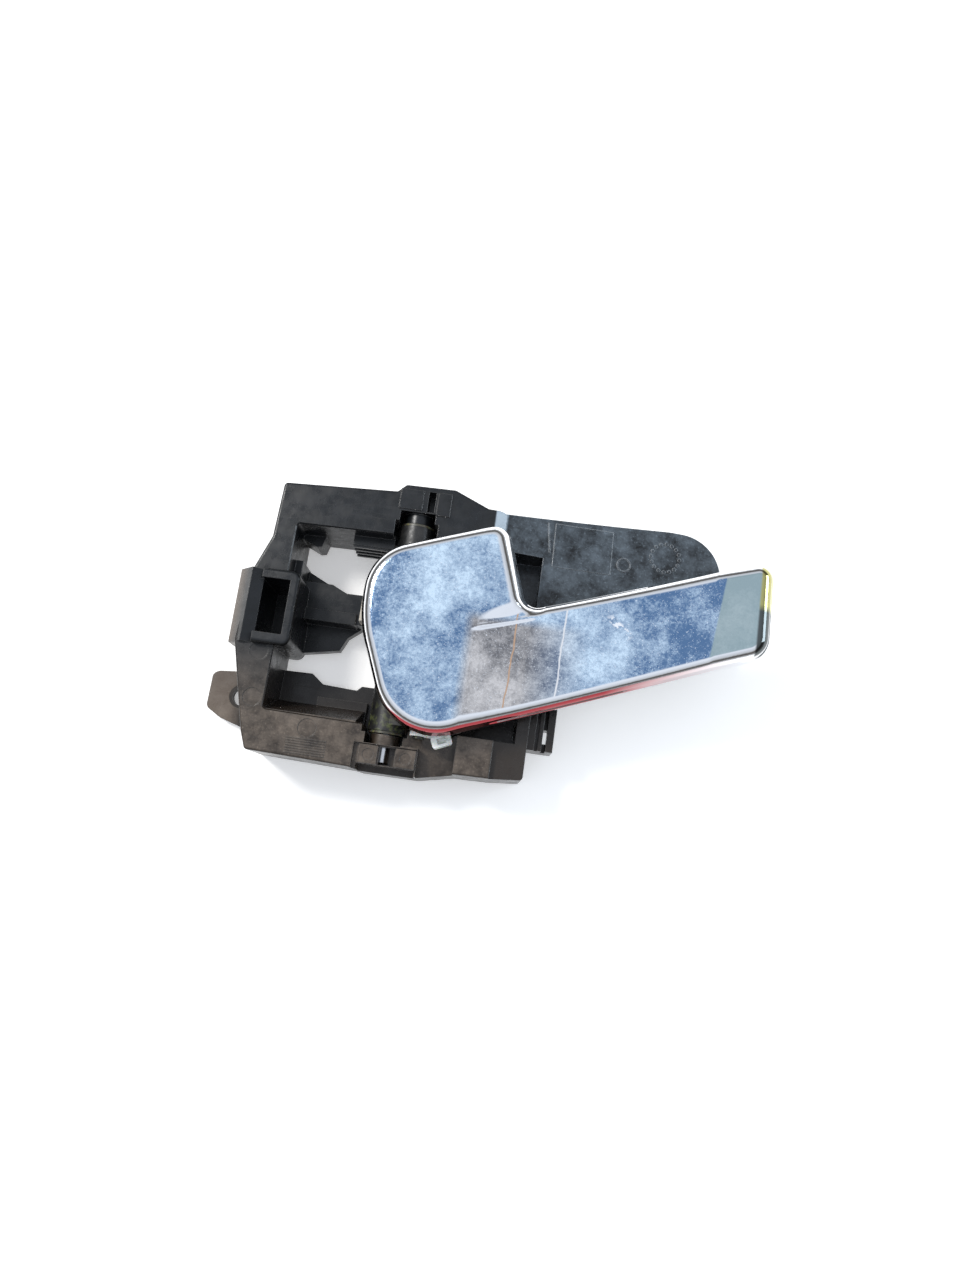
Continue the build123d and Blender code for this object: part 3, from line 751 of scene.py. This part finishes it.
def area_light(name, place, target, size, power, color):
    """A rectangular light that faces a target."""
    light = bpy.data.lights.new(name, "AREA")
    light.shape = "RECTANGLE"
    light.size, light.size_y = size
    light.energy = power
    light.color = color
    thing = bpy.data.objects.new(name, light)
    thing.location = place
    thing.rotation_euler = (Vector(target) - Vector(place)).to_track_quat("-Z", "Y").to_euler()
    bpy.context.scene.collection.objects.link(thing)
    return thing


def world_light():
    """Plain soft surroundings: a pale sky, a darker ring below it and a grey horizon."""
    world = bpy.data.worlds.new("studio")
    bpy.context.scene.world = world
    world.use_nodes = True
    g = Graph(world.node_tree)
    world.node_tree.nodes.clear()
    output = g.add("ShaderNodeOutputWorld")
    background = g.add("ShaderNodeBackground")
    g.link(background.outputs[0], output.inputs[0])
    z = g.separate(g.add("ShaderNodeTexCoord").outputs["Generated"])[2]
    sky = g.mix(g.ramp(z, 0.42, 0.85), (0.40, 0.42, 0.44, 1), (0.76, 0.82, 0.92, 1))
    ring = g.math("MULTIPLY", g.ramp(z, 0.10, 0.22), g.ramp(z, 0.52, 0.40))
    g.feed(g.mix(ring, sky, (0.110, 0.107, 0.105, 1)), background.inputs["Color"])
    background.inputs["Strength"].default_value = 1.1


centre = Vector((0.074, 0.025, 0.024))
floor()
world_light()
area_light("key_light", centre + Vector((-0.70, 0.42, 0.95)), centre, (0.28, 0.28), 11.0, (1.0, 0.98, 0.95))
area_light("side_light", centre + Vector((0.95, 0.28, 0.30)), centre, (0.5, 0.4), 5.0, (0.80, 0.90, 1.0))

AZIMUTH = math.radians(8.0)
ELEVATION = math.radians(79.0)
DISTANCE = 0.30
LENS = 27.84
back = Vector((
    math.sin(AZIMUTH) * math.cos(ELEVATION),
    -math.cos(AZIMUTH) * math.cos(ELEVATION),
    math.sin(ELEVATION),
))
camera_data = bpy.data.cameras.new("camera")
camera_data.lens = LENS
camera_data.clip_start = 0.01
camera = bpy.data.objects.new("camera", camera_data)
camera.location = centre + back * DISTANCE
camera.rotation_euler = (-back).to_track_quat("-Z", "Y").to_euler()
bpy.context.scene.collection.objects.link(camera)
bpy.context.scene.camera = camera
bpy.context.scene.view_settings.view_transform = "Standard"
